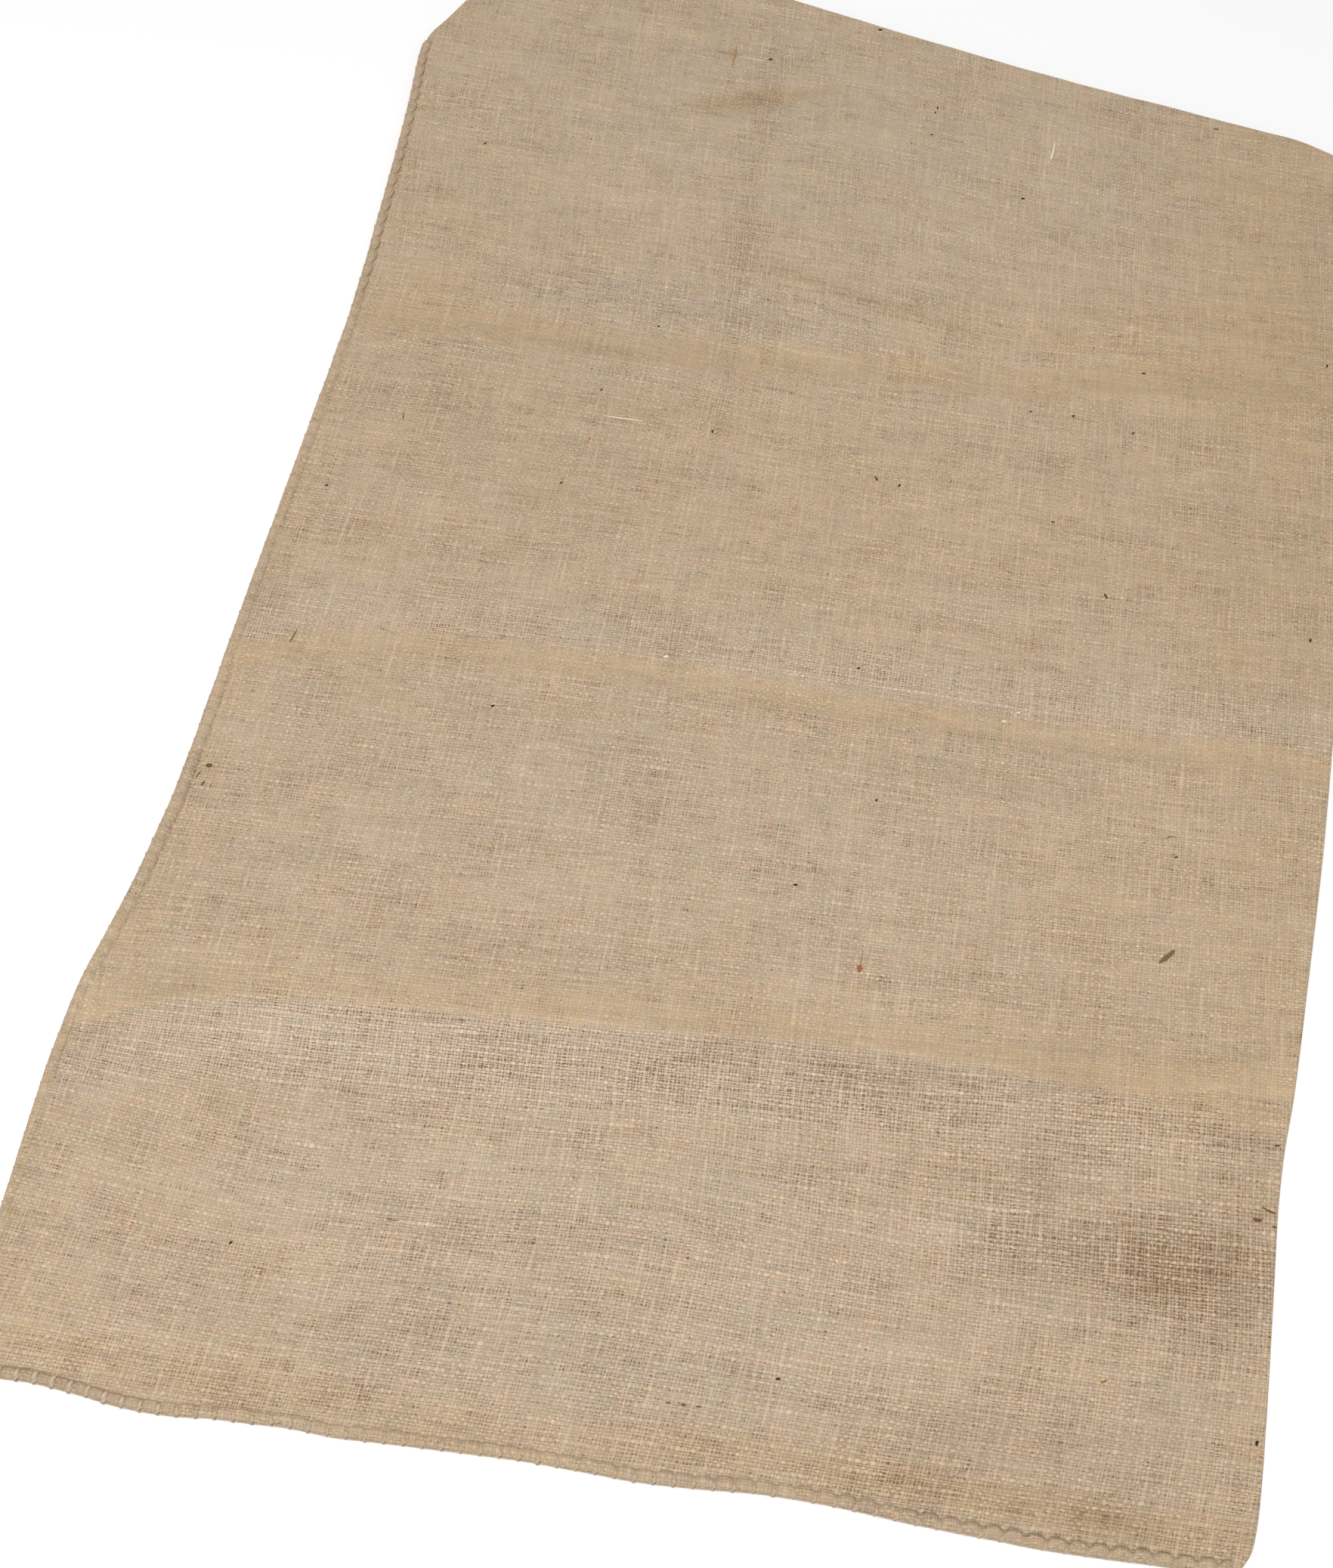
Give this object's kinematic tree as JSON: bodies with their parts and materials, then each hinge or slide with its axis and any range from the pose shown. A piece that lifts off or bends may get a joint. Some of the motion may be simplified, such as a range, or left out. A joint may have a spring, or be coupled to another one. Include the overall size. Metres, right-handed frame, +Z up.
{
  "type": "jute sack",
  "caption": "Empty hessian sack lying flat, folded down one side, sewn up the other and across the bottom, open at the mouth, with soft storage creases.",
  "frame": {"origin": "on the floor under the middle of the sack's box", "axes": "+X across the sack from the side seam to the side fold, +Y along it from the bottom seam to the mouth, +Z up out of the floor"},
  "size_m": [0.6326, 1.0894, 0.0192],
  "materials": {
    "hessian": "matt, coarse undyed plain weave"
  },
  "bodies": {
    "root": {"sack_cloth": "hessian"}
  },
  "joints": []
}
